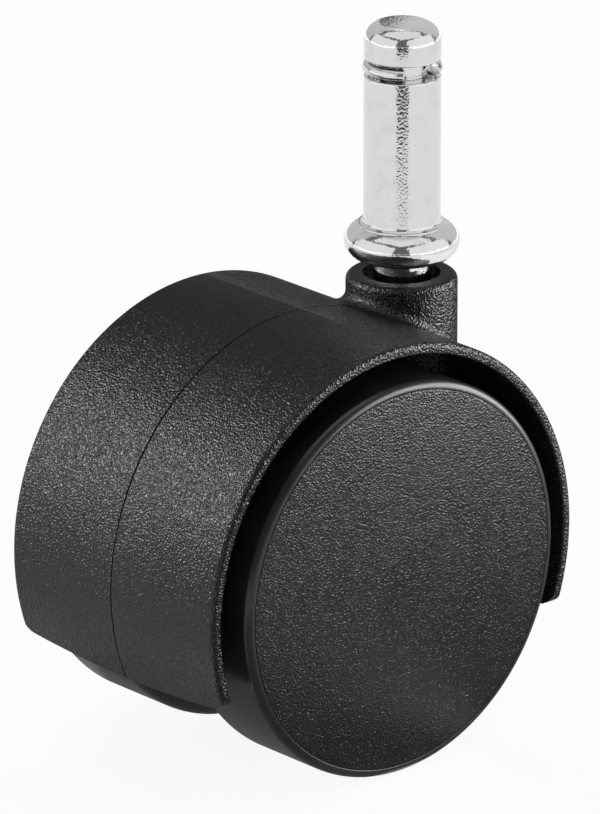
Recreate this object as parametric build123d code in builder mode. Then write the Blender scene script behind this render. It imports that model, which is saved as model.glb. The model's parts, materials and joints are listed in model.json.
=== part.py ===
from build123d import *
from math import cos, radians, sin
import os

os.makedirs("parts", exist_ok=True)

# Hooded twin-wheel swivel caster with a grip-ring stem, in millimetres.
# The stem's axis is the Z axis, and z = 0 is the collar's top face, which seats under the chair leg.
# The wheels' axle runs along Y, behind the stem on the -X side. The caster is symmetric about Y = 0.

# ---------------------------------------------------------------- driving dimensions

stem_d = 9.525            # 3/8 in shank
stem_length = 25.4        # 1 in from the collar's top to the end of the head
wheel_d = 50.0
wheel_width = 12.6        # one wheel, from its inner to its outer face
trail = 17.8              # from the swivel axis back to the axle
wheel_gap = 2.9           # between a wheel's tread and the inside of the hood
wheel_proud = 1.4         # the wheels' faces stand this far out of the hood's open ends
hood_wall = 1.4
hood_top_drop = 7.6       # from the collar's top down to the top of the hood

# clearances
running = 0.05            # radial, for a shaft that turns in a bore
slip = 0.10               # between loose pieces of one assembly
end_play = 0.30           # along a shaft, at each end of a part that turns on it
tower_gap = 0.60          # between the socket tower and the wheels on both sides of it

# ---------------------------------------------------------------- stem

nose_r = 2.0              # rounding at the end of the head
grip_wire_d = 1.5
grip_proud = 0.2          # how far the grip ring stands out of the shank
grip_slack = 0.36         # the groove is this much deeper than the wire is thick
grip_play = 0.3           # above and below the wire
grip_drop = 5.45          # from the end of the head down to the wire's middle
grip_gap_start = 230.5    # where the wire stops, in degrees about Z from +X
grip_gap = 72.0
groove_edge = 0.2         # chamfer on the groove's two lips

collar_d = 14.3
collar_height = 4.4
collar_belly_drop = 2.1   # from the collar's top down to its widest place
collar_foot_r = 4.9       # the collar's underside is this wide
collar_flare = 0.45       # fillet between the shank and the collar
collar_land = 0.2         # flat ring round that fillet, which seats under the chair leg
collar_step = 0.18        # small step down from the flat ring

pintle_d = 7.2            # the swivel pin below the collar
pintle_length = 34.0      # from the collar's top to the pin's end
pintle_nose = 0.9         # chamfer at the pin's end

lock_ring_drop = 28.5     # from the collar's top to the ring that keeps the pin in its socket
lock_ring_height = 1.0
lock_ring_wall = 1.15
lock_ring_bite = 0.4      # how far that ring reaches into the wall of the socket
lock_ring_gap = 50.0      # degrees

# ---------------------------------------------------------------- housing

hood_edge = 0.7           # outer rounding of the open ends
hood_lip = 0.25           # inner rounding of the open ends
hood_drop = 10.2          # the hood's lower edge, below the axle at its two ends
hood_bow = 1.3            # the lower edge bows this much further down at the middle plane
hood_corner = 2.2         # rounding of the lower edge's corners
web_thick = 3.0
seam_width = 0.16         # the witness line where the mould's halves met
seam_depth = 0.12
seam_end = 0.3            # the line stops this far short of the neck's fillet

neck_d = 13.8
neck_drop = 6.5           # the neck's top, below the collar's top
neck_edge = 0.9
neck_root = 1.2           # fillet between the neck and the hood
mouth_gap = 1.2           # round the pin, at the socket's mouth
mouth_depth = 1.3
socket_floor = 2.0        # plastic below the thrust disc
thrust_thick = 1.0

# ---------------------------------------------------------------- axle, wheels and caps

axle_d = 6.0
axle_chamfer = 0.5
axle_tail = 1.0           # the axle stands out of its clips
axle_room = 1.1           # between the axle's end and the back of the cap
boss_wall = 3.5
hub_wall = 3.3
clip_wall = 3.0           # the clips are flat washers with a dished, slotted middle
clip_thick = 0.5
clip_dish = 0.5
clip_tongue = 1.5         # length of the tongues that grip the axle
clip_slots = 6
clip_slot_width = 0.9
clip_slot_over = 0.4      # the slots between the tongues run this far past them

rim_wall = 3.2
tread_round = 1.1         # rounding between the tread and the outer face
tread_round_inner = 1.2
disc_thick = 2.0
rib_count = 10
rib_thick = 1.5
cap_seat_depth = 1.7      # how deep the cap sits in the wheel's outer face
cap_crown = 0.9           # the cap's middle stands out further than its edge
cap_edge = 0.3
skirt_wall = 1.3
skirt_length = 3.0
bead = 0.35               # snap bead around the cap's skirt
bead_length = 0.9

# ---------------------------------------------------------------- sizes and places that follow from them

stem_r = stem_d / 2
pintle_r = pintle_d / 2
wheel_r = wheel_d / 2
axle_r = axle_d / 2
neck_r = neck_d / 2

hood_inner_r = wheel_r + wheel_gap
hood_r = hood_inner_r + hood_wall
axle_drop = hood_top_drop + hood_r
edge_z = -axle_drop - hood_drop

grip_z = stem_length - grip_drop
grip_half = grip_wire_d / 2 + grip_play
grip_ring_r = stem_r + grip_proud - grip_wire_d / 2
grip_core_r = stem_r - grip_wire_d - grip_slack
collar_land_r = stem_r + collar_flare + collar_land

neck_top_z = -neck_drop
socket_r = pintle_r + running
mouth_r = pintle_r + mouth_gap
lock_ring_z = -lock_ring_drop
lock_ring_r = socket_r + lock_ring_bite
lock_core_r = socket_r - lock_ring_wall - slip
lock_half = lock_ring_height / 2 + slip
thrust_top_z = -pintle_length - slip
thrust_bottom_z = thrust_top_z - thrust_thick
tower_bottom_z = thrust_bottom_z - socket_floor
tower_top_z = neck_top_z - neck_edge - slip

wheel_inner_y = neck_r + tower_gap
wheel_outer_y = wheel_inner_y + wheel_width
hood_half = wheel_outer_y - wheel_proud
boss_half = wheel_inner_y - end_play
boss_r = axle_r + boss_wall

rim_inner_r = wheel_r - rim_wall
rib_y = wheel_inner_y + disc_thick
seat_r = wheel_r - tread_round
seat_y = wheel_outer_y - cap_seat_depth
cap_r = seat_r - slip
cap_back_y = seat_y + slip
skirt_r = rim_inner_r - slip
skirt_end_y = cap_back_y - skirt_length
bead_y = skirt_end_y + bead_length
rib_end_y = skirt_end_y - bead - slip

axle_half = cap_back_y - axle_room
clip_y = axle_half - axle_tail - clip_dish - clip_thick
clip_r = axle_r + clip_wall
tongue_r = axle_r + clip_tongue
hub_end_y = clip_y - end_play
hub_r = axle_r + hub_wall

axle_line = Axis((-trail, 0, -axle_drop), (0, 1, 0))
axle_plane = Plane(origin=(-trail, 0, -axle_drop), x_dir=(1, 0, 0), z_dir=(0, -1, 0))


def save(builder, name):
    """Label a finished piece and write it to its own file."""
    builder.part.label = name
    export_step(builder.part, f"parts/{name}.step")


def radial_plane(angle, z):
    """A plane through the Z axis: its x runs outwards at the angle, its y runs up."""
    a = radians(angle)
    return Plane(origin=(0, 0, z), x_dir=(cos(a), sin(a), 0), z_dir=(sin(a), -cos(a), 0))


# ---------------------------------------------------------------- stem: one steel turning

with BuildPart() as stem:
    with BuildSketch(Plane.XZ):
        with BuildLine():
            Line((0, stem_length), (stem_r - nose_r, stem_length))
            CenterArc((stem_r - nose_r, stem_length - nose_r), nose_r, 0, 90)
            Polyline(
                (stem_r, stem_length - nose_r),
                (stem_r, grip_z + grip_half + groove_edge),
                (stem_r - groove_edge, grip_z + grip_half),
                (grip_core_r, grip_z + grip_half),
                (grip_core_r, grip_z - grip_half),
                (stem_r - groove_edge, grip_z - grip_half),
                (stem_r, grip_z - grip_half - groove_edge),
                (stem_r, collar_flare),
            )
            CenterArc((stem_r + collar_flare, collar_flare), collar_flare, 180, 90)
            Polyline((stem_r + collar_flare, 0), (collar_land_r, 0), (collar_land_r, -collar_step))
            ThreePointArc(
                (collar_land_r, -collar_step),
                (collar_d / 2, -collar_belly_drop),
                (collar_foot_r, -collar_height),
            )
            Polyline(
                (collar_foot_r, -collar_height),
                (pintle_r, -collar_height),
                (pintle_r, lock_ring_z + lock_half),
                (lock_core_r, lock_ring_z + lock_half),
                (lock_core_r, lock_ring_z - lock_half),
                (pintle_r, lock_ring_z - lock_half),
                (pintle_r, -pintle_length + pintle_nose),
                (pintle_r - pintle_nose, -pintle_length),
                (0, -pintle_length),
                (0, stem_length),
            )
        make_face()
    revolve(axis=Axis.Z)
save(stem, "stem")

# The grip ring is round spring wire, open at one side, loose in the shank's upper groove.
with BuildPart() as grip_ring:
    with BuildSketch(radial_plane(grip_gap_start + grip_gap, grip_z)):
        with Locations((grip_ring_r, 0)):
            Circle(grip_wire_d / 2)
    revolve(axis=Axis.Z, revolution_arc=360 - grip_gap)
save(grip_ring, "grip_ring")

# The retaining ring sits in the pin's lower groove and reaches into a recess of the socket.
with BuildPart() as retaining_ring:
    with BuildSketch(radial_plane(180 + lock_ring_gap / 2, lock_ring_z)):
        with Locations((lock_ring_r - lock_ring_wall / 2, 0)):
            Rectangle(lock_ring_wall, lock_ring_height)
    revolve(axis=Axis.Z, revolution_arc=360 - lock_ring_gap)
save(retaining_ring, "retaining_ring")

# ---------------------------------------------------------------- housing: hood, web, boss and neck in one moulding

with BuildPart() as housing:
    with BuildSketch(axle_plane):
        Circle(hood_r)
    extrude(amount=hood_half, both=True)
    fillet(housing.edges().filter_by(GeomType.CIRCLE), hood_edge)

    # the neck stands on the hood, and a fillet runs round its root
    with BuildSketch(Plane.XY.offset(-axle_drop)):
        Circle(neck_r)
    extrude(amount=axle_drop - neck_drop)
    fillet(housing.edges().filter_by(GeomType.BSPLINE).sort_by(Axis.Z)[-1:], neck_root)
    fillet(housing.edges().filter_by(GeomType.CIRCLE).sort_by(Axis.Z)[-1:], neck_edge)

    # the hollow for the wheels
    with BuildSketch(axle_plane):
        Circle(hood_inner_r)
    extrude(amount=hood_half, both=True, mode=Mode.SUBTRACT)
    rounds = housing.edges().filter_by(GeomType.CIRCLE)
    fillet(rounds.filter_by(lambda edge: abs(edge.radius - hood_inner_r) < slip), hood_lip)

    # middle web, axle boss, and the socket tower between the wheels
    with BuildSketch(axle_plane):
        Circle(hood_inner_r + hood_wall / 2)
    extrude(amount=web_thick / 2, both=True)
    with BuildSketch(Plane.XY.offset(tower_bottom_z)):
        Circle(neck_r)
    extrude(amount=tower_top_z - tower_bottom_z)

    # the lower edge: gently bowed, with rounded corners, level on both sides of the wheels
    with BuildSketch(Plane.YZ) as side_outline:
        with BuildLine():
            Polyline((-hood_half, edge_z), (-hood_half, 0), (hood_half, 0), (hood_half, edge_z))
            ThreePointArc((hood_half, edge_z), (0, edge_z - hood_bow), (-hood_half, edge_z))
        make_face()
        fillet(side_outline.vertices().group_by(Axis.Z)[0], hood_corner)
    extrude(amount=trail + 2 * hood_r, both=True, mode=Mode.INTERSECT)

    with BuildSketch(axle_plane):
        Circle(boss_r)
    extrude(amount=boss_half, both=True)

    # witness line of the mould, round the hood at the middle plane, up to the neck
    with BuildSketch(axle_plane):
        Circle(hood_r + seam_depth)
        Circle(hood_r - seam_depth, mode=Mode.SUBTRACT)
        with Locations((trail, hood_r)):
            Rectangle(2 * (neck_r + neck_root + seam_end), 2 * hood_r, mode=Mode.SUBTRACT)
    extrude(amount=seam_width / 2, both=True, mode=Mode.SUBTRACT)

    # the stem's socket, the recess for its retaining ring, and the axle's hole
    with Locations((0, 0, neck_top_z)):
        CounterBoreHole(socket_r, mouth_r, mouth_depth, depth=neck_top_z - thrust_bottom_z)
    with BuildSketch(Plane.XY.offset(lock_ring_z)):
        Circle(lock_ring_r + slip)
    extrude(amount=lock_half, both=True, mode=Mode.SUBTRACT)
    with BuildSketch(axle_plane):
        Circle(axle_r)
    extrude(amount=hood_half, both=True, mode=Mode.SUBTRACT)
save(housing, "housing")

# The thrust disc lies at the bottom of the socket and carries the end of the pin.
with BuildPart() as thrust_disc:
    with BuildSketch(Plane.XY.offset(thrust_bottom_z)):
        Circle(socket_r)
    extrude(amount=thrust_thick)
save(thrust_disc, "thrust_disc")

# ---------------------------------------------------------------- axle, pressed through the boss

with BuildPart() as axle:
    with BuildSketch(axle_plane):
        Circle(axle_r)
    extrude(amount=axle_half, both=True)
    chamfer(axle.edges().filter_by(GeomType.CIRCLE), axle_chamfer)
save(axle, "axle")

# ---------------------------------------------------------------- wheels, caps and clips, one set on each side


def spin_plane(side):
    """A plane through the axle: its x runs out from the axle, its y runs along it, away from the middle."""
    return Plane(origin=(-trail, 0, -axle_drop), x_dir=(1, 0, 0), z_dir=(0, 0, side))


def side_plane(side, y):
    """A plane across the axle, on one side of the caster, facing outwards."""
    return Plane(origin=(-trail, side * y, -axle_drop), x_dir=(1, 0, 0), z_dir=(0, side, 0))


def build_wheel(side, name):
    with BuildPart() as wheel:
        with BuildSketch(spin_plane(side)):
            with BuildLine():
                Polyline(
                    (seat_r, seat_y),
                    (rim_inner_r, seat_y),
                    (rim_inner_r, bead_y + slip),
                    (rim_inner_r + bead, bead_y),
                    (rim_inner_r + bead, skirt_end_y - slip),
                    (rim_inner_r, rib_end_y),
                    (rim_inner_r, rib_y),
                    (hub_r, rib_y),
                    (hub_r, hub_end_y),
                    (axle_r + running, hub_end_y),
                    (axle_r + running, wheel_inner_y),
                    (wheel_r - tread_round_inner, wheel_inner_y),
                )
                tread_centre = (wheel_r - tread_round_inner, wheel_inner_y + tread_round_inner)
                CenterArc(tread_centre, tread_round_inner, -90, 90)
                Line(
                    (wheel_r, wheel_inner_y + tread_round_inner),
                    (wheel_r, wheel_outer_y - tread_round),
                )
                CenterArc((seat_r, wheel_outer_y - tread_round), tread_round, 0, 90)
                Line((seat_r, wheel_outer_y), (seat_r, seat_y))
            make_face()
        revolve(axis=axle_line)
        with BuildSketch(side_plane(side, rib_y)):
            with PolarLocations((hub_r + rim_inner_r) / 2, rib_count):
                Rectangle(rim_inner_r - hub_r + rib_thick / 2, rib_thick)
        extrude(amount=rib_end_y - rib_y)
    save(wheel, name)


def build_cap(side, name):
    with BuildPart() as cap:
        with BuildSketch(spin_plane(side)):
            with BuildLine():
                TangentArc((0, wheel_outer_y + cap_crown), (cap_r, wheel_outer_y), tangent=(1, 0))
                Polyline(
                    (cap_r, wheel_outer_y),
                    (cap_r, cap_back_y),
                    (skirt_r, cap_back_y),
                    (skirt_r, bead_y),
                    (skirt_r + bead, bead_y - slip),
                    (skirt_r + bead, skirt_end_y + bead),
                    (skirt_r, skirt_end_y),
                    (skirt_r - skirt_wall, skirt_end_y),
                    (skirt_r - skirt_wall, cap_back_y),
                    (0, cap_back_y),
                    (0, wheel_outer_y + cap_crown),
                )
            make_face()
        revolve(axis=axle_line)
        rounds = cap.edges().filter_by(GeomType.CIRCLE).filter_by(lambda edge: edge.is_closed)
        rims = rounds.group_by(SortBy.RADIUS)[-1]
        fillet(rims.sort_by(Axis.Y)[-1 if side > 0 else 0], cap_edge)
    save(cap, name)


def build_clip(side, name):
    with BuildPart() as clip:
        with BuildSketch(spin_plane(side)):
            with BuildLine():
                Polyline(
                    (clip_r, clip_y),
                    (clip_r, clip_y + clip_thick),
                    (tongue_r, clip_y + clip_thick),
                    (axle_r, clip_y + clip_thick + clip_dish),
                    (axle_r, clip_y + clip_dish),
                    (tongue_r, clip_y),
                    (clip_r, clip_y),
                )
            make_face()
        revolve(axis=axle_line)
        with BuildSketch(side_plane(side, clip_y)):
            with PolarLocations((axle_r + tongue_r) / 2, clip_slots):
                Rectangle(clip_tongue + 2 * clip_slot_over, clip_slot_width)
        extrude(amount=clip_thick + clip_dish, mode=Mode.SUBTRACT)
    save(clip, name)


for side, name in ((1, "left"), (-1, "right")):
    build_wheel(side, f"wheel_{name}")
    build_cap(side, f"wheel_cap_{name}")
    build_clip(side, f"axle_clip_{name}")
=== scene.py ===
# %% [markdown]
# # A hooded twin-wheel chair caster
# A caster has few pieces, so each one has to be right: a black nylon moulding with a fine spark-eroded
# grain, two nylon wheels with snap-in caps, and a bright plated stem with a split wire ring.
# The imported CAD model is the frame. Every piece made here is in metres, in the same place as its CAD node.
# Sizes inside a section are in millimetres, as on a drawing, and `MM` turns them into metres.

# %% Load the frame
import bmesh
import bpy
import json
from math import atan2, ceil, cos, pi, radians, sin, sqrt, tan
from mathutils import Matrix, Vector

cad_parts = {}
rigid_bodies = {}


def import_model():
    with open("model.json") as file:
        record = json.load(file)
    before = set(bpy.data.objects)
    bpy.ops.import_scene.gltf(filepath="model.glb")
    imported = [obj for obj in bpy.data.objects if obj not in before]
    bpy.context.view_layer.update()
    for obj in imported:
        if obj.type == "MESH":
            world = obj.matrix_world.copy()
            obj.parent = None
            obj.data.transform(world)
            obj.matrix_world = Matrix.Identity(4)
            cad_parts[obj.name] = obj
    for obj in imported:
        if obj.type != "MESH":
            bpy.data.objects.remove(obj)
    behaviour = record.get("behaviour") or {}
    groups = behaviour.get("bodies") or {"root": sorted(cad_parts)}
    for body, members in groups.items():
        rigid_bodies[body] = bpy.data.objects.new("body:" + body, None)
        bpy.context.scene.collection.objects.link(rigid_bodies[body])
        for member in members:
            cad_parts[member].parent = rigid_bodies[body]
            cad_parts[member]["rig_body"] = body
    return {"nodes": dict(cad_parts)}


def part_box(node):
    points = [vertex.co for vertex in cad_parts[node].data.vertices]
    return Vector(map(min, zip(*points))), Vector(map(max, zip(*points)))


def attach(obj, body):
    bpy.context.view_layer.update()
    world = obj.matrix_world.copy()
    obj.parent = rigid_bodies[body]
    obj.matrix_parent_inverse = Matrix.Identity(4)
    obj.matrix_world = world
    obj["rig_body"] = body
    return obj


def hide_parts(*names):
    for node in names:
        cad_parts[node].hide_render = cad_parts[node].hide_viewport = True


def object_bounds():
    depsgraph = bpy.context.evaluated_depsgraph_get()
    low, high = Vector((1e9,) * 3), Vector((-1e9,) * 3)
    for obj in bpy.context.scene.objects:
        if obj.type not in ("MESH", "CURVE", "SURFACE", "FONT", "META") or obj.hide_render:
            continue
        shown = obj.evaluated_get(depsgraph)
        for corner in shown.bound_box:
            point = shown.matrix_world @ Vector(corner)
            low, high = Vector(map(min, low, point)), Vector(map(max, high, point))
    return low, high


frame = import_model()
cad_low, cad_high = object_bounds()
MM = 0.001
print("CAD box, mm:", [round(v / MM, 1) for v in (*cad_low, *cad_high)])

# %% [markdown]
# ## Camera
# A product shot looks down on the caster from beside its trailing end, from far enough away that the
# upright stem stays upright. A long lens a metre away does that. The camera is placed by the direction it
# looks in and the point it looks at, so its angles can be read straight from the numbers.

# %% Camera
AIM = Vector((-0.0141, 0.0029, -0.0216))       # the point in the middle of the picture
TURN, TILT = radians(-41.6), radians(19.5)      # round the stem from -Y, and down from level
CAMERA_DISTANCE = 1.0
SENSOR, LENS = 36, 361                          # millimetres, as cameras are sold

towards_camera = Vector((sin(TURN) * cos(TILT), -cos(TURN) * cos(TILT), sin(TILT)))
camera = bpy.data.objects.new("camera", bpy.data.cameras.new("camera"))
camera.data.sensor_width = SENSOR
camera.data.lens = LENS
camera.location = AIM + towards_camera * CAMERA_DISTANCE
camera.rotation_euler = (-towards_camera).to_track_quat("-Z", "Y").to_euler()
bpy.context.scene.collection.objects.link(camera)
bpy.context.scene.camera = camera
print("camera at", [round(v, 3) for v in camera.location])

# %% [markdown]
# ## Shader maths
# A finish is easiest to read as a sum: grain plus waves, one minus a mask. This class wraps an output
# socket. Its operators add Math nodes, and its `node` method adds any other node. Sockets go
# by name, or by number where a node has several of one name.


# %% One class for shader maths
class Value:
    """An output socket of a node tree. Sums and products of Values add Math nodes to the tree."""

    def __init__(self, tree, socket=None):
        self.tree = tree
        self.socket = socket

    def node(self, kind, settings=None, sockets=None, output=0):
        """Adds a node, with its settings first and then its sockets, and gives one of its outputs."""
        new = self.tree.nodes.new(kind)
        for name, setting in (settings or {}).items():
            setattr(new, name, setting)
        for name, given in (sockets or {}).items():
            if isinstance(given, Value):
                self.tree.links.new(given.socket, new.inputs[name])
            else:
                new.inputs[name].default_value = given
        return Value(self.tree, new.outputs[output])

    def maths(self, operation, *numbers):
        return self.node("ShaderNodeMath", {"operation": operation}, dict(enumerate(numbers)))

    def __add__(self, other):
        return self.maths("ADD", self, other)

    def __radd__(self, other):
        return self.maths("ADD", other, self)

    def __sub__(self, other):
        return self.maths("SUBTRACT", self, other)

    def __rsub__(self, other):
        return self.maths("SUBTRACT", other, self)

    def __mul__(self, other):
        return self.maths("MULTIPLY", self, other)

    def between(self, low, high):
        """0 below low, 1 above high, and a smooth step from one to the other."""
        step = {"interpolation_type": "SMOOTHSTEP"}
        return self.node("ShaderNodeMapRange", step, {"Value": self, "From Min": low, "From Max": high})


OBJECT = 3                              # the Texture Coordinate node's output of object coordinates
FACTOR, FIRST, SECOND, COLOUR = 0, 6, 7, 2


def blend(factor, colour, other):
    """Goes from a colour to another one as the factor goes from 0 to 1."""
    sockets = {FACTOR: factor, FIRST: (*colour, 1), SECOND: (*other, 1)}
    return factor.node("ShaderNodeMix", {"data_type": "RGBA"}, sockets, output=COLOUR)


def noise(place, scale, detail):
    return place.node("ShaderNodeTexNoise", None, {"Vector": place, "Scale": scale, "Detail": detail})


def start_material(name):
    """A new material with a Principled shader. Gives the material, the shader and object coordinates."""
    material = bpy.data.materials.new(name)
    material.use_nodes = True
    tree = material.node_tree
    shader = tree.nodes["Principled BSDF"]
    place = Value(tree).node("ShaderNodeTexCoord", output=OBJECT)
    return material, shader, place


def feed(shader, **values):
    """Sets or links the shader's sockets. An underscore in a name stands for a space."""
    for name, given in values.items():
        socket = shader.inputs[name.replace("_", " ")]
        if isinstance(given, Value):
            given.tree.links.new(given.socket, socket)
        else:
            socket.default_value = given


# %% [markdown]
# ## Grained black nylon
# The hood and the caps come out of a spark-eroded mould: grains about a quarter of a millimetre across, close
# together, that break the light into fine sparkle. A picture of the grain would stretch and repeat, so it is
# made from two sizes of noise on object coordinates, at its real size, and goes to a Bump node. The hood has
# no grain along the line where the mould's halves met, or the line would be lost in it.


# %% Grained nylon
def grained_nylon(name, grain, depth, base, roughness, seam=False):
    """grain is the width of one grain and depth its height, in metres."""
    material, shader, place = start_material(name)
    lumps = noise(place, 1 / grain, 0)
    fine = noise(place, 1.9 / grain, 0)
    broad = noise(place, 90, 3)
    height = lumps + fine * 0.25
    if seam:
        across = place.node("ShaderNodeSeparateXYZ", None, {0: place}, output=1)
        height = height * across.maths("ABSOLUTE", across).between(0.07 * MM, 0.16 * MM)
    bump = place.node("ShaderNodeBump", None, {"Height": height, "Distance": depth, "Strength": 1.0})
    dust = broad.between(0.42, 0.75) * 0.35 + fine.between(0.35, 0.8) * 0.3
    feed(
        shader,
        Base_Color=blend(dust, base, [2.0 * c for c in base]),
        Roughness=roughness + broad * 0.10 - fine * 0.06,
        Normal=bump,
        IOR=1.46,
    )
    return material


hood_nylon = grained_nylon("hood_nylon", 0.25 * MM, 0.15 * MM, (0.005, 0.005, 0.0051), 0.15, seam=True)
cap_nylon = grained_nylon("cap_nylon", 0.22 * MM, 0.085 * MM, (0.006, 0.006, 0.0061), 0.18)

# %% [markdown]
# ## Smooth black nylon
# The tread and the rim are polished in the mould, so they are satin. Only faint waves and a trace of dust
# show on them. Both are noise, far shallower than the hood's grain.


# %% Smooth nylon
def smooth_nylon(name, base, roughness):
    material, shader, place = start_material(name)
    waves = noise(place, 260, 4)
    fine = noise(place, 2600, 2)
    bump = place.node("ShaderNodeBump", None, {"Height": waves * 0.6 + fine * 0.4, "Distance": 0.006 * MM})
    feed(
        shader,
        Base_Color=blend(waves.between(0.4, 0.7) * 0.5, base, [1.7 * c for c in base]),
        Roughness=roughness + waves * 0.12,
        Normal=bump,
        IOR=1.53,
    )
    return material


tread_nylon = smooth_nylon("tread_nylon", (0.011, 0.011, 0.0115), 0.24)

# %% [markdown]
# ## Plated steel
# The stem is turned from bar and nickel plated. Turning leaves lines round it. Plating softens them to a fine
# orange peel, which breaks every dark reflection into specks, and leaves a few pits. The lines are noise on a
# coordinate that is squeezed along the stem only, so they ring it.


# %% Plated and spring steel
def steel(name, colour, roughness, peel_depth, line_depth, pits):
    """The depths are in metres. pits goes from 0, none, to 1."""
    material, shader, place = start_material(name)
    squeezed = place.node("ShaderNodeMapping", None, {"Vector": place, "Scale": (60, 60, 9000)})
    lines = noise(squeezed, 1, 3)
    peel = noise(place, 3600, 0)
    cloud = noise(place, 420, 4)
    spots = place.node("ShaderNodeTexVoronoi", None, {"Vector": place, "Scale": 900})
    pit = (1 - spots.between(0.05, 0.16)) * cloud.between(0.52, 0.66) * pits
    relief = peel * peel_depth + lines * line_depth - pit * PIT_DEPTH
    dull = pit + cloud.between(0.45, 0.8) * 0.15
    feed(
        shader,
        Base_Color=blend(dull, colour, [0.45 * c for c in colour]),
        Metallic=1.0,
        Roughness=roughness + cloud * 0.06 + pit * 0.3,
        Normal=place.node("ShaderNodeBump", None, {"Height": relief, "Distance": 1}),
    )
    return material


PIT_DEPTH = 0.006 * MM
nickel_plate = steel("nickel_plate", (0.70, 0.695, 0.685), 0.07, 0.013 * MM, 0.0004 * MM, 0.8)
spring_wire = steel("spring_wire", (0.66, 0.65, 0.64), 0.12, 0.004 * MM, 0.001 * MM, 0.4)
ground_steel = steel("ground_steel", (0.58, 0.58, 0.58), 0.24, 0.006 * MM, 0.002 * MM, 0.2)
print("materials:", hood_nylon.name, cap_nylon.name, tread_nylon.name)
print("          ", nickel_plate.name, spring_wire.name, ground_steel.name)

# %% [markdown]
# ## Geometry Nodes, written as calls
# Turned and moulded-round parts follow a rule: a section, and a circle that it is swept round. So their
# shapes come from Geometry Nodes trees with named sizes. This class adds nodes to a tree in the way that
# `Value` adds them to a finish, and `grow` runs a tree and keeps the plain mesh that it makes.


# %% A tree builder and a way to run it
class Tree:
    """A Geometry Nodes tree whose sizes are named inputs."""

    def __init__(self, name, **sizes):
        self.group = bpy.data.node_groups.new(name, "GeometryNodeTree")
        face = self.group.interface
        face.new_socket("Geometry", in_out="OUTPUT", socket_type="NodeSocketGeometry")
        face.new_socket("Geometry", in_out="INPUT", socket_type="NodeSocketGeometry")
        self.identifiers = {}
        for label, kind in sizes.items():
            socket = face.new_socket(label, in_out="INPUT", socket_type="NodeSocket" + kind)
            self.identifiers[label] = socket.identifier
        self.entry = self.group.nodes.new("NodeGroupInput")
        self.exit = self.group.nodes.new("NodeGroupOutput")

    def __getitem__(self, label):
        return Value(self.group, self.entry.outputs[label])

    def add(self, kind, settings=None, sockets=None, output=0):
        return Value(self.group).node(kind, settings, sockets, output)

    def finish(self, shape):
        """Realizes instances, gives the faces their finish and ends the tree."""
        solid = self.add("GeometryNodeRealizeInstances", None, {0: shape})
        faced = self.add("GeometryNodeSetMaterial", None, {"Geometry": solid, "Material": self["Finish"]})
        self.group.links.new(faced.socket, self.exit.inputs[0])
        return self


def grow(tree, name, points=(), lines=(), faces=(), **sizes):
    """Runs a tree on these points, lines and faces, and keeps the plain mesh that comes out."""
    start = bpy.data.meshes.new("start")
    start.from_pydata(points, lines, faces)
    piece = bpy.data.objects.new(name, start)
    bpy.context.scene.collection.objects.link(piece)
    modifier = piece.modifiers.new(name, "NODES")
    modifier.node_group = tree.group
    for label, size in sizes.items():
        modifier[tree.identifiers[label]] = size
    bpy.context.view_layer.update()
    grown = piece.evaluated_get(bpy.context.evaluated_depsgraph_get())
    mesh = bpy.data.meshes.new_from_object(grown)
    piece.modifiers.clear()
    piece.data = mesh
    mesh.name = name
    bpy.data.meshes.remove(start)
    close_and_face_out(mesh)
    return piece


def close_and_face_out(mesh, weld=0.002 * MM):
    """Merges doubled points and turns every face outwards."""
    work = bmesh.new()
    work.from_mesh(mesh)
    bmesh.ops.remove_doubles(work, verts=work.verts, dist=weld)
    bmesh.ops.recalc_face_normals(work, faces=work.faces)
    open_edges = sum(not edge.is_manifold for edge in work.edges)
    work.to_mesh(mesh)
    work.free()
    print(f"{mesh.name}: {len(mesh.polygons)} faces, {open_edges} open edges")


# %% [markdown]
# ## The turning tree
# A lathe needs a section and a number of steps. The tree makes a flat grid with one column of points for each
# step, looks up every point's radius and height in the section, and bends the grid round the axis. Grid
# points are numbered down the columns, so a remainder gives the place in the section and a quotient the step.


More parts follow.
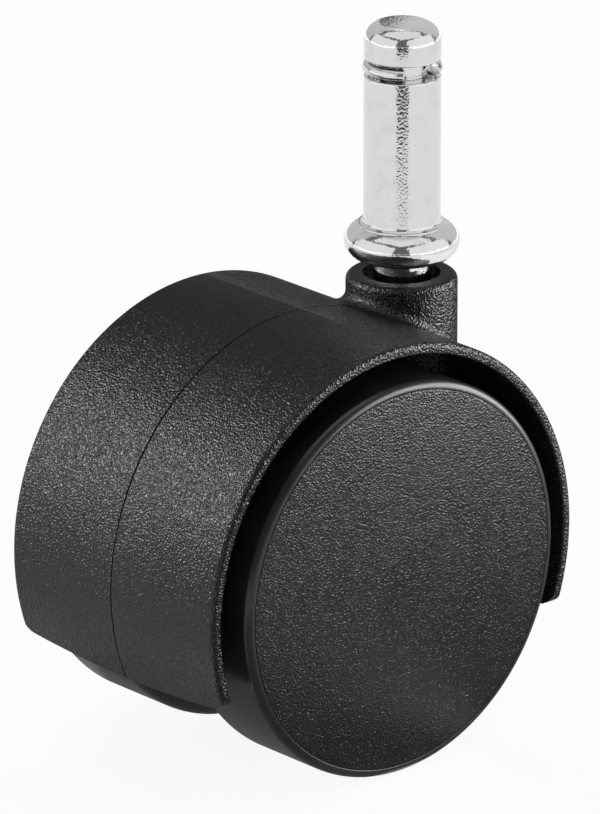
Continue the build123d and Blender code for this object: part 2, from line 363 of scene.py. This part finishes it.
# %% The turning tree
def make_turning_tree():
    tree = Tree(
        "turning",
        Steps="Int",
        Points="Int",
        Middle="Vector",
        Lie="Rotation",
        Crease="Float",
        Finish="Material",
    )
    columns = tree.add("ShaderNodeMath", {"operation": "ADD"}, {0: tree["Steps"], 1: 1})
    grid = tree.add("GeometryNodeMeshGrid", None, {"Vertices X": columns, "Vertices Y": tree["Points"]})
    index = tree.add("GeometryNodeInputIndex")
    in_section = index.maths("MODULO", index, tree["Points"])
    step = index.maths("FLOOR", index.maths("DIVIDE", index + 0.5, tree["Points"]))
    angle = index.maths("DIVIDE", step * (2 * pi), tree["Steps"])
    section = tree.add(
        "GeometryNodeSampleIndex",
        {"data_type": "FLOAT_VECTOR"},
        {0: tree["Geometry"], "Value": tree.add("GeometryNodeInputPosition"), "Index": in_section},
    )
    parts = tree.add("ShaderNodeSeparateXYZ", None, {0: section})
    height = Value(tree.group, parts.socket.node.outputs["Z"])
    ring = {
        "X": parts * index.maths("COSINE", angle),
        "Y": parts * index.maths("SINE", angle),
        "Z": height,
    }
    bent = tree.add(
        "GeometryNodeSetPosition",
        None,
        {"Geometry": grid, "Position": tree.add("ShaderNodeCombineXYZ", None, ring)},
    )
    welded = tree.add("GeometryNodeMergeByDistance", None, {"Geometry": bent, "Distance": 0.0005 * MM})
    smooth = tree.add("GeometryNodeSetShadeSmooth", None, {"Geometry": welded})
    turn = tree.add("GeometryNodeInputMeshEdgeAngle")
    sharp = turn.maths("GREATER_THAN", turn, tree["Crease"])
    creased = tree.add(
        "GeometryNodeSetShadeSmooth",
        {"domain": "EDGE"},
        {"Geometry": smooth, "Selection": sharp, "Shade Smooth": False},
    )
    placed = tree.add(
        "GeometryNodeTransform",
        None,
        {"Geometry": creased, "Translation": tree["Middle"], "Rotation": tree["Lie"]},
    )
    return tree.finish(placed)


turning = make_turning_tree()


def rounded(corners, bend=radians(9)):
    """A section as points, from corners (radius, height, rounding). Each rounding becomes a short arc."""
    points = []
    for i, (r, h, rounding) in enumerate(corners):
        here = Vector((r, h))
        if not rounding:
            points.append(here)
            continue
        before = (Vector(corners[i - 1][:2]) - here).normalized()
        after = (Vector(corners[(i + 1) % len(corners)][:2]) - here).normalized()
        half = before.angle(after) / 2
        centre = here + (before + after).normalized() * rounding / sin(half)
        first = here + before * rounding / tan(half) - centre
        last = here + after * rounding / tan(half) - centre
        swing = first.angle_signed(last)
        count = max(2, ceil(abs(swing) / bend))
        for k in range(count + 1):
            a = -swing * k / count
            turned = Vector((first.x * cos(a) - first.y * sin(a), first.x * sin(a) + first.y * cos(a)))
            points.append(centre + turned)
    return points


def turned(name, corners, finish, middle=(0, 0, 0), lie=(0, 0, 0), steps=128, crease=radians(35)):
    """A solid of revolution. Corners are in millimetres, radius then height, from one end of the axis on."""
    section = rounded([tuple(v * MM for v in corner) for corner in corners])
    points = [(p.x, 0, p.y) for p in section]
    return grow(
        turning,
        name,
        points,
        Steps=steps,
        Points=len(points),
        Middle=middle,
        Lie=lie,
        Crease=crease,
        Finish=finish,
    )


# %% [markdown]
# ## Stem
# The stem is one turning: a rounded head, the groove for the wire ring, the shank, and a fat round collar
# over a slim swivel pin. It could be modelled face by face, but a lathe in real life is a lathe here. The
# section is read from the head down. Every lip has a small rounding, because a plated edge always shows one.

# %% Stem
SHANK, HEAD, NOSE = 4.7625, 25.4, 2.0
CORE, GROOVE_TOP, GROOVE_FOOT = 2.9, 21.0, 18.9
COLLAR, COLLAR_FOOT, COLLAR_DEPTH, BELLY_DROP = 7.15, 4.9, 4.4, 2.1
PIN, PIN_END, PIN_NOSE = 3.6, -34.0, 0.8
LAND_R, LAND_STEP, LAND_EDGE = 5.41, 0.18, 0.06       # the flat ring that seats under the chair leg
LIP, ROOT, FLARE, FOOT_FILLET = 0.22, 0.15, 0.45, 0.25
LOCK_CORE, LOCK_MIDDLE, LOCK_HALF = 2.4, -28.5, 0.6


def bulb(top_r, top_z, middle_r, middle_z, foot_r, foot_z, steps=22):
    """Points on the circle through three points, which gives the collar its round side."""
    a, b, c = Vector((top_r, top_z)), Vector((middle_r, middle_z)), Vector((foot_r, foot_z))
    d = 2 * (a.x * (b.y - c.y) + b.x * (c.y - a.y) + c.x * (a.y - b.y))
    x = (a.length_squared * (b.y - c.y) + b.length_squared * (c.y - a.y) + c.length_squared * (a.y - b.y)) / d
    y = (a.length_squared * (c.x - b.x) + b.length_squared * (a.x - c.x) + c.length_squared * (b.x - a.x)) / d
    first, last = (atan2(p.y - y, p.x - x) for p in (a, c))
    radius = (a - Vector((x, y))).length
    angles = [first + (last - first) * k / steps for k in range(steps + 1)]
    return [(x + radius * cos(t), y + radius * sin(t), 0) for t in angles]


stem = turned(
    "stem_turning",
    [
        (0, HEAD, 0),
        (SHANK, HEAD, NOSE),
        (SHANK, GROOVE_TOP, LIP),
        (CORE, GROOVE_TOP, ROOT),
        (CORE, GROOVE_FOOT, ROOT),
        (SHANK, GROOVE_FOOT, LIP),
        (SHANK, 0, FLARE),
        (LAND_R, 0, LAND_EDGE),
        *bulb(LAND_R, -LAND_STEP, COLLAR, -BELLY_DROP, COLLAR_FOOT, -COLLAR_DEPTH),
        (PIN, -COLLAR_DEPTH, FOOT_FILLET),
        (PIN, LOCK_MIDDLE + LOCK_HALF, 0),
        (LOCK_CORE, LOCK_MIDDLE + LOCK_HALF, 0),
        (LOCK_CORE, LOCK_MIDDLE - LOCK_HALF, 0),
        (PIN, LOCK_MIDDLE - LOCK_HALF, 0),
        (PIN, PIN_END, PIN_NOSE),
        (0, PIN_END, 0),
    ],
    nickel_plate,
)
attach(stem, "stem")
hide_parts("stem")


def compare(piece, node):
    """Prints a piece's size beside its CAD node's, in millimetres."""
    low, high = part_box(node)
    made = [round(v / MM, 2) for v in piece.dimensions]
    print(piece.name, made, "CAD", [round(v / MM, 2) for v in high - low])


compare(stem, "stem")

# %% [markdown]
# ## Split rings
# Two rings are strips of spring wire bent round: the grip ring in the shank, and the ring that keeps the pin
# in its socket. Each is a section swept along an arc, with flat sawn ends. The tree takes the section's
# outline as its geometry, so one tree makes the round wire and the flat one.


# %% The split ring tree
def make_ring_tree():
    tree = Tree(
        "split_ring",
        Radius="Float",
        First="Float",
        Sweep="Float",
        Middle="Vector",
        Finish="Material",
    )
    arc = tree.add(
        "GeometryNodeCurveArc",
        None,
        {
            "Resolution": 96,
            "Radius": tree["Radius"],
            "Start Angle": tree["First"],
            "Sweep Angle": tree["Sweep"],
        },
    )
    wire = tree.add("GeometryNodeMeshToCurve", None, {0: tree["Geometry"]})
    swept = tree.add(
        "GeometryNodeCurveToMesh",
        None,
        {"Curve": arc, "Profile Curve": wire, "Fill Caps": True},
    )
    lifted = tree.add("GeometryNodeTransform", None, {"Geometry": swept, "Translation": tree["Middle"]})
    return tree.finish(lifted)


split_ring = make_ring_tree()


def soften(piece, angle=radians(35)):
    """Smooth shading, with sharp edges where faces meet at more than the angle."""
    piece.data.shade_smooth()
    piece.data.set_sharp_from_angle(angle=angle)


def bevel(piece, width, segments=2, angle=radians(35)):
    """Rounds a piece's sharp edges for good."""
    modifier = piece.modifiers.new("bevel", "BEVEL")
    modifier.width, modifier.segments = width, segments
    modifier.limit_method, modifier.angle_limit = "ANGLE", angle
    bpy.context.view_layer.update()
    done = bpy.data.meshes.new_from_object(piece.evaluated_get(bpy.context.evaluated_depsgraph_get()))
    piece.modifiers.clear()
    piece.data = done
    soften(piece, angle)


def ring_of(name, outline, radius, middle, first, sweep, edge, body="stem"):
    """A split ring of spring wire. The outline and the sizes are in millimetres."""
    count = len(outline)
    piece = grow(
        split_ring,
        name,
        [(x * MM, y * MM, 0) for x, y in outline],
        [(i, (i + 1) % count) for i in range(count)],
        Radius=radius * MM,
        First=first,
        Sweep=sweep,
        Middle=(0, 0, middle * MM),
        Finish=spring_wire,
    )
    bevel(piece, edge * MM)
    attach(piece, body)
    return piece


# %% Both rings
WIRE_R, WIRE_PROUD, WIRE_MIDDLE = 0.75, 0.2, 19.95
WIRE_SIDES = 24
wire_turns = [2 * pi * k / WIRE_SIDES for k in range(WIRE_SIDES)]
wire_outline = [(WIRE_R * cos(turn), WIRE_R * sin(turn)) for turn in wire_turns]
GRIP_GAP, LOCK_GAP = radians(72), radians(50)
GRIP_END = radians(302.5)
WIRE_BURR, STRIP_EDGE = 0.09, 0.12              # roundings of the sawn wire and of the strip
grip_ring = ring_of(
    "grip_ring_wire",
    wire_outline,
    SHANK + WIRE_PROUD - WIRE_R,
    WIRE_MIDDLE,
    GRIP_END,
    2 * pi - GRIP_GAP,
    WIRE_BURR,
)
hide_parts("grip_ring")

STRIP_WALL, STRIP_HEIGHT, STRIP_OUTSIDE = 1.15, 1.0, 4.05
strip_outline = [
    (x * STRIP_WALL / 2, y * STRIP_HEIGHT / 2) for x, y in ((-1, -1), (1, -1), (1, 1), (-1, 1))
]
lock_ring = ring_of(
    "retaining_ring_strip",
    strip_outline,
    STRIP_OUTSIDE - STRIP_WALL / 2,
    LOCK_MIDDLE,
    pi + LOCK_GAP / 2,
    2 * pi - LOCK_GAP,
    STRIP_EDGE,
)
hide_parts("retaining_ring")
compare(grip_ring, "grip_ring")
compare(lock_ring, "retaining_ring")

# %% [markdown]
# ## Housing
# The moulding of hood, web, boss and neck keeps its CAD shape. The CAD mesh is loose triangles, which shade
# as flat facets, so a copy is welded and shaded smooth, with its real edges kept sharp, and stands for it.


# %% Housing
def welded_copy(node, name, finish, angle=radians(28)):
    """A smooth-shaded copy of a CAD node, with the same shape and place."""
    mesh = frame["nodes"][node].data.copy()
    mesh.name = name
    piece = bpy.data.objects.new(name, mesh)
    bpy.context.scene.collection.objects.link(piece)
    work = bmesh.new()
    work.from_mesh(mesh)
    bmesh.ops.remove_doubles(work, verts=work.verts, dist=0.0002 * MM)
    work.to_mesh(mesh)
    work.free()
    mesh.materials.clear()
    mesh.materials.append(finish)
    if mesh.has_custom_normals:
        mesh.attributes.remove(mesh.attributes["custom_normal"])
    soften(piece, angle)
    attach(piece, frame["nodes"][node]["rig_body"])
    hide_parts(node)
    return piece


housing = welded_copy("housing", "housing_moulding", hood_nylon)
print("housing faces:", len(housing.data.polygons))

# %% [markdown]
# ## Wheels
# A wheel is a rim, a disc and a hub in one turning, stiffened by ten ribs, and it runs free on the axle. Its
# tread meets its outer face in a small even round, and a shallow seat inside that round takes the cap. Both
# wheels have the same section, measured outwards from the caster's middle plane, and lie on its two sides.

# %% Sizes of a wheel
wheel_low, wheel_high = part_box("wheel_left")
WHEEL_R = round((wheel_high.z - wheel_low.z) / 2 / MM, 2)
INNER, OUTER = round(wheel_low.y / MM, 2), round(wheel_high.y / MM, 2)
AXLE = Vector((wheel_low.x + wheel_high.x, 0, wheel_low.z + wheel_high.z)) / 2
EDGE, INNER_EDGE = 1.0, 1.2             # roundings of the tread
SEAT_R, SEAT = 23.9, 18.4               # the step that the cap sits in
RIM, HUB, BORE, HUB_END = 21.8, 6.3, 3.05, 15.1
DISC = 9.5                              # where the disc ends and the ribs begin
SKIRT_END, BEAD, BEAD_LENGTH = 15.5, 0.35, 0.9
PLAY = 0.1
SEAT_EDGE, RIM_EDGE, HUB_EDGE, DISC_FILLET = 0.09, 0.12, 0.3, 1.0
WHEEL_STEPS = 192
SIDES = {"left": (radians(-90), 0, 0), "right": (radians(90), 0, 0)}   # turns +Z to +Y or to -Y
print("wheel radius, inner and outer face, mm:", WHEEL_R, INNER, OUTER)

# %% Wheels
MID_TREAD = (INNER + OUTER) / 2
groove_top = SKIRT_END + BEAD_LENGTH
wheel_section = [
    (WHEEL_R, MID_TREAD, 0),
    (WHEEL_R, OUTER, EDGE),
    (SEAT_R, OUTER, SEAT_EDGE),
    (SEAT_R, SEAT, 0),
    (RIM, SEAT, RIM_EDGE),
    (RIM, groove_top + PLAY, 0),
    (RIM + BEAD, groove_top, 0),
    (RIM + BEAD, SKIRT_END - PLAY, 0),
    (RIM, SKIRT_END - PLAY - BEAD, 0),
    (RIM, DISC, DISC_FILLET),
    (HUB, DISC, DISC_FILLET),
    (HUB, HUB_END, HUB_EDGE),
    (BORE, HUB_END, HUB_EDGE),
    (BORE, INNER, HUB_EDGE),
    (WHEEL_R, INNER, INNER_EDGE),
    (WHEEL_R, MID_TREAD, 0),
]
for side, lie in SIDES.items():
    wheel = turned(f"wheel_{side}_turning", wheel_section, tread_nylon, AXLE, lie, WHEEL_STEPS)
    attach(wheel, f"wheel_{side}")
    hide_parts(f"wheel_{side}")
    compare(wheel, f"wheel_{side}")

# %% [markdown]
# ## Ribs
# Ten equal ribs stand round the hub like spokes. One rib is a few points, thinner at its free edge so that it
# leaves the mould. A tree puts a copy on each point of a circle and turns it outwards.


# %% The rib tree
def make_spoke_tree():
    tree = Tree("spokes", Count="Int", Middle="Vector", Lie="Rotation", Finish="Material")
    index = tree.add("GeometryNodeInputIndex")
    points = tree.add("GeometryNodePoints", None, {"Count": tree["Count"]})
    share = index.maths("DIVIDE", index * (2 * pi), tree["Count"])
    heading = tree.add("ShaderNodeCombineXYZ", None, {"Z": share})
    copies = tree.add(
        "GeometryNodeInstanceOnPoints",
        None,
        {"Points": points, "Instance": tree["Geometry"], "Rotation": heading},
    )
    placed = tree.add(
        "GeometryNodeTransform",
        None,
        {"Geometry": copies, "Translation": tree["Middle"], "Rotation": tree["Lie"]},
    )
    return tree.finish(placed)


spokes = make_spoke_tree()

# %% Ribs
RIBS, RIB_ROOT, RIB_TIP = 10, 1.5, 1.1
RIB_BITE, RIB_EDGE = 0.4, 0.2           # the ribs reach this far into hub, rim and disc, and are rounded
rib_end = SKIRT_END - BEAD - PLAY
rib_corners = [
    (r * MM, sign * thick / 2 * MM, h * MM)
    for h, thick in ((DISC - RIB_BITE, RIB_ROOT), (rib_end, RIB_TIP))
    for r, sign in ((HUB - RIB_BITE, -1), (RIM + RIB_BITE, -1), (RIM + RIB_BITE, 1), (HUB - RIB_BITE, 1))
]
rib_faces = [(3, 2, 1, 0), (4, 5, 6, 7), (0, 1, 5, 4), (1, 2, 6, 5), (2, 3, 7, 6), (3, 0, 4, 7)]
for side, lie in SIDES.items():
    ribs = grow(
        spokes,
        f"wheel_{side}_ribs",
        rib_corners,
        faces=rib_faces,
        Count=RIBS,
        Middle=AXLE,
        Lie=lie,
        Finish=tread_nylon,
    )
    bevel(ribs, RIB_EDGE * MM)
    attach(ribs, f"wheel_{side}")

# %% [markdown]
# ## Caps
# The cap closes the wheel's outer face: a very flat dome, with a grain slightly finer than the hood's, and a
# skirt with a bead that snaps into the rim. The seam between cap and wheel is a hairline, because both edges
# are nearly sharp there. The dome's radius follows from its width and its rise.

# %% Caps
CAP_R, CROWN, CAP_BACK, SKIRT_WALL = SEAT_R - 0.03, 0.9, SEAT + PLAY, 1.3
DOME_STEPS = 24
CAP_EDGE, CAP_CORNER, CAP_FILLET = 0.12, 0.1, 0.6
dome = (CAP_R**2 + CROWN**2) / (2 * CROWN)
dome_radii = [CAP_R * k / DOME_STEPS for k in range(DOME_STEPS)]
dome_points = [(r, OUTER + CROWN - dome + sqrt(dome**2 - r**2), 0) for r in dome_radii]
skirt = RIM - PLAY
cap_section = [
    *dome_points,
    (CAP_R, OUTER, CAP_EDGE),
    (CAP_R, CAP_BACK, CAP_CORNER),
    (skirt, CAP_BACK, 0),
    (skirt, groove_top, 0),
    (skirt + BEAD, groove_top - PLAY, 0),
    (skirt + BEAD, SKIRT_END + BEAD, 0),
    (skirt, SKIRT_END, 0),
    (skirt - SKIRT_WALL, SKIRT_END, CAP_CORNER),
    (skirt - SKIRT_WALL, CAP_BACK, CAP_FILLET),
    (0, CAP_BACK, 0),
]
for side, lie in SIDES.items():
    cap = turned(f"wheel_cap_{side}_turning", cap_section, cap_nylon, AXLE, lie, WHEEL_STEPS)
    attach(cap, f"wheel_{side}")
    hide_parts(f"wheel_cap_{side}")
    compare(cap, f"wheel_cap_{side}")

# %% [markdown]
# ## Axle, thrust disc and clips
# The axle is a plain ground pin. Its ends are rounded so that it enters the boss, and a small centre mark is
# left by the lathe. The thrust disc is a coin of steel. The clips keep their CAD shape.

# %% Axle, thrust disc and clips
AXLE_R, AXLE_HALF, AXLE_ROUND = 3.0, 17.4, 0.5
MARK_R, MARK_DEPTH, MARK_EDGE = 0.6, 0.4, 0.05
PIN_STEPS = 64
half_axle = [
    (0, AXLE_HALF - MARK_DEPTH, 0),
    (MARK_R, AXLE_HALF, MARK_EDGE),
    (AXLE_R, AXLE_HALF, AXLE_ROUND),
]
axle = turned(
    "axle_turning",
    half_axle + [(r, -h, rounding) for r, h, rounding in reversed(half_axle)],
    ground_steel,
    AXLE,
    SIDES["left"],
    steps=PIN_STEPS,
)
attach(axle, "housing")
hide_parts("axle")
compare(axle, "axle")

DISC_R, DISC_TOP, DISC_FOOT, DISC_ROUND = 3.65, -34.1, -35.1, 0.15
thrust_disc = turned(
    "thrust_disc_turning",
    [
        (0, DISC_TOP, 0),
        (DISC_R, DISC_TOP, DISC_ROUND),
        (DISC_R, DISC_FOOT, DISC_ROUND),
        (0, DISC_FOOT, 0),
    ],
    ground_steel,
    steps=PIN_STEPS,
)
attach(thrust_disc, "housing")
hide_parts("thrust_disc")
compare(thrust_disc, "thrust_disc")

for side in SIDES:
    clip = welded_copy(f"axle_clip_{side}", f"axle_clip_{side}_pressing", spring_wire)

# %% [markdown]
# ## Floor
# Black plastic and chrome show what stands around them more than they show their own colour. So the room is
# built from what they mirror. The floor is a white sheet that glows by itself, so that it stays white right
# up to the wheels, as paper does under a studio's lights.


# %% Floor
def flat_sheet(name, corners, height):
    mesh = bpy.data.meshes.new(name)
    mesh.from_pydata([(x, y, height) for x, y in corners], [], [tuple(range(len(corners)))])
    sheet = bpy.data.objects.new(name, mesh)
    bpy.context.scene.collection.objects.link(sheet)
    return sheet


def paint(sheet, shade, glow):
    """A dull grey that glows."""
    material, shader, _ = start_material(sheet.name)
    feed(
        shader,
        Base_Color=(shade, shade, shade, 1),
        Roughness=0.9,
        Emission_Color=(1, 1, 1, 1),
        Emission_Strength=glow,
    )
    sheet.data.materials.append(material)


FLOOR_HALF, FLOOR_SHADE, FLOOR_GLOW = 3.0, 0.5, 0.90
floor_signs = ((-1, -1), (1, -1), (1, 1), (-1, 1))
floor = flat_sheet("floor", [(FLOOR_HALF * x, FLOOR_HALF * y) for x, y in floor_signs], cad_low.z)
paint(floor, FLOOR_SHADE, FLOOR_GLOW)

# %% [markdown]
# ## Who is lit by what
# Chrome wants wide pale walls, and black grain wants one small strong light. One set of lights can't do both,
# so light linking gives the stem its own lights, and the black pieces theirs. A group is a collection, and a
# light falls only on the pieces of its group.


# %% Groups of pieces
def lit_group(name, wanted):
    """The pieces that a light may fall on."""
    group = bpy.data.collections.new(name)
    for thing in bpy.context.scene.objects:
        if thing.type == "MESH" and thing != floor and wanted(thing):
            group.objects.link(thing)
    return group


def is_bright(thing):
    return thing in (stem, grip_ring)


steel_group = lit_group("steel_group", is_bright)
black_group = lit_group("black_group", lambda thing: not is_bright(thing))
hood_group = lit_group("hood_group", lambda thing: thing == housing)

# %% [markdown]
# ## Darker stretches of floor, which only reflections see
# A real studio floor isn't equally bright everywhere: it is dark beyond the paper, and under the object it
# lies in the object's own shade.
# Painting it would show in the picture. So thin sheets just above it stand for the dark parts, and only
# reflections see them. The far one draws the line down the middle of the stem. Those for the crown, the
# wheel's face and its rim are dim for the black pieces, and glow like the floor for the stem. Those for the
# foot of the hood and the underside are equally dim for every piece. The last light, from above, falls on
# these sheets too, so their group is made after them.


# %% Darker stretches of floor
def mirrored_sheet(name, corners, shade, glow=0.0, group=None):
    """A piece of floor as reflections see it: a shade of grey that glows, perhaps only for one group."""
    sheet = flat_sheet(name, corners, cad_low.z + SHEET_LIFT)
    paint(sheet, shade, glow)
    sheet.visible_camera = sheet.visible_diffuse = sheet.visible_shadow = False
    sheet.light_linking.receiver_collection = group
    return sheet


def fan(azimuth, half_angle, near, far):
    """The corners of a stretch of floor. Its direction is given as for the camera."""
    a, half = radians(azimuth), radians(half_angle)
    corners = ((near, -half), (near, half), (far, half), (far, -half))
    return [(reach * sin(a + swing), -reach * cos(a + swing)) for reach, swing in corners]


SHEET_LIFT, SHEET_STEP = 0.5 * MM, 0.1 * MM
FOOTPRINT = [(-0.052, -0.023), (0.006, -0.023), (0.006, 0.024), (-0.052, 0.024)]     # under the hood
# painted reflections: these sheets are floor as only reflections see it, darker than the floor the camera
# sees
mirrored_sheet("stem_stretch", fan(-41.6, 17, 0.335, 1.2), 0)
greys = [
    mirrored_sheet("crown_stretch", fan(138, 55, 0.03, 2.8), 0.28, FLOOR_GLOW, steel_group),
    mirrored_sheet("wheel_stretch", fan(41, 42, 0.015, 0.20), 0.80, FLOOR_GLOW, steel_group),
    mirrored_sheet("rim_stretch", fan(-45, 30, 0.02, 0.15), 0.50, FLOOR_GLOW, steel_group),
    mirrored_sheet("hood_stretch", fan(-135, 32, 0.03, 0.20), 0, 0.50),
    # painted shade: the caster's shade on the floor beneath it, as its reflections show it
    mirrored_sheet("underside_shade", FOOTPRINT, 0, 0.22),
]
for level, grey in enumerate(greys):
    grey.location.z = level * SHEET_STEP
dull_group = lit_group("dull_group", lambda thing: not is_bright(thing))

# %% [markdown]
# ## Room
# The room is white where the camera sees it and dim in every reflection, as if the walls were far away. A
# Light Path node tells the two apart.

# %% Room
ROOM_DIM = 0.16
world = bpy.data.worlds.new("room")
bpy.context.scene.world = world
world.use_nodes = True
background = world.node_tree.nodes["Background"]
seen = Value(world.node_tree).node("ShaderNodeLightPath")
world.node_tree.links.new((seen * (1 - ROOM_DIM) + ROOM_DIM).socket, background.inputs["Strength"])
background.inputs["Color"].default_value = (1, 1, 1, 1)
bpy.context.scene.view_settings.view_transform = "Standard"

# %% [markdown]
# ## Soft boxes
# The hood gets a small strong box behind its left shoulder, which its grain turns into a band of sparkle, a
# pale one round that, and one from the left. All the black pieces share a broad one low on the right, which
# is there for the wheel's face, and one from above. The stem stands between tall pale boxes with narrow gaps:
# the gaps are the dark squares on its head and collar. A direction is given as for the camera, in degrees
# round from -Y and up from level.


# %% Soft boxes
def soft_box(name, azimuth, elevation, distance, width, height, brightness, group=None):
    """A flat light that faces the caster. Its direction is given as for the camera."""
    a, e = radians(azimuth), radians(elevation)
    back = Vector((sin(a) * cos(e), -cos(a) * cos(e), sin(e)))
    lamp = bpy.data.lights.new(name, "AREA")
    lamp.shape, lamp.size, lamp.size_y = "RECTANGLE", width, height
    lamp.energy = brightness * pi * width * height
    box = bpy.data.objects.new(name, lamp)
    box.location = AIM + back * distance
    box.rotation_euler = (-back).to_track_quat("-Z", "Y").to_euler()
    box.light_linking.receiver_collection = group
    bpy.context.scene.collection.objects.link(box)


soft_box("shoulder_box", -141, 24, 0.45, 0.15, 0.15, 13, hood_group)
soft_box("shoulder_halo", -141, 26, 0.50, 0.42, 0.36, 1.6, hood_group)
soft_box("left_box", -92, 22, 0.5, 0.30, 0.30, 1.2, hood_group)
soft_box("wheel_box", 54, 9, 0.42, 0.40, 0.26, 8.5, black_group)
soft_box("stem_left_box", -104, 10, 0.5, 0.96, 0.9, 0.85, steel_group)
soft_box("stem_right_box", 20, 10, 0.5, 0.96, 0.9, 0.9, steel_group)
soft_box("stem_back_box", 104, 14, 0.5, 0.60, 0.9, 0.55, steel_group)
soft_box("stem_far_box", 172, 14, 0.5, 0.60, 0.9, 0.5, steel_group)
soft_box("stem_top_box", 0, 86, 0.5, 0.56, 0.56, 0.8, steel_group)
soft_box("top_box", 0, 86, 0.7, 0.6, 0.6, 1.0, dull_group)
print("lights:", [(light.name, round(light.energy, 2)) for light in bpy.data.lights])
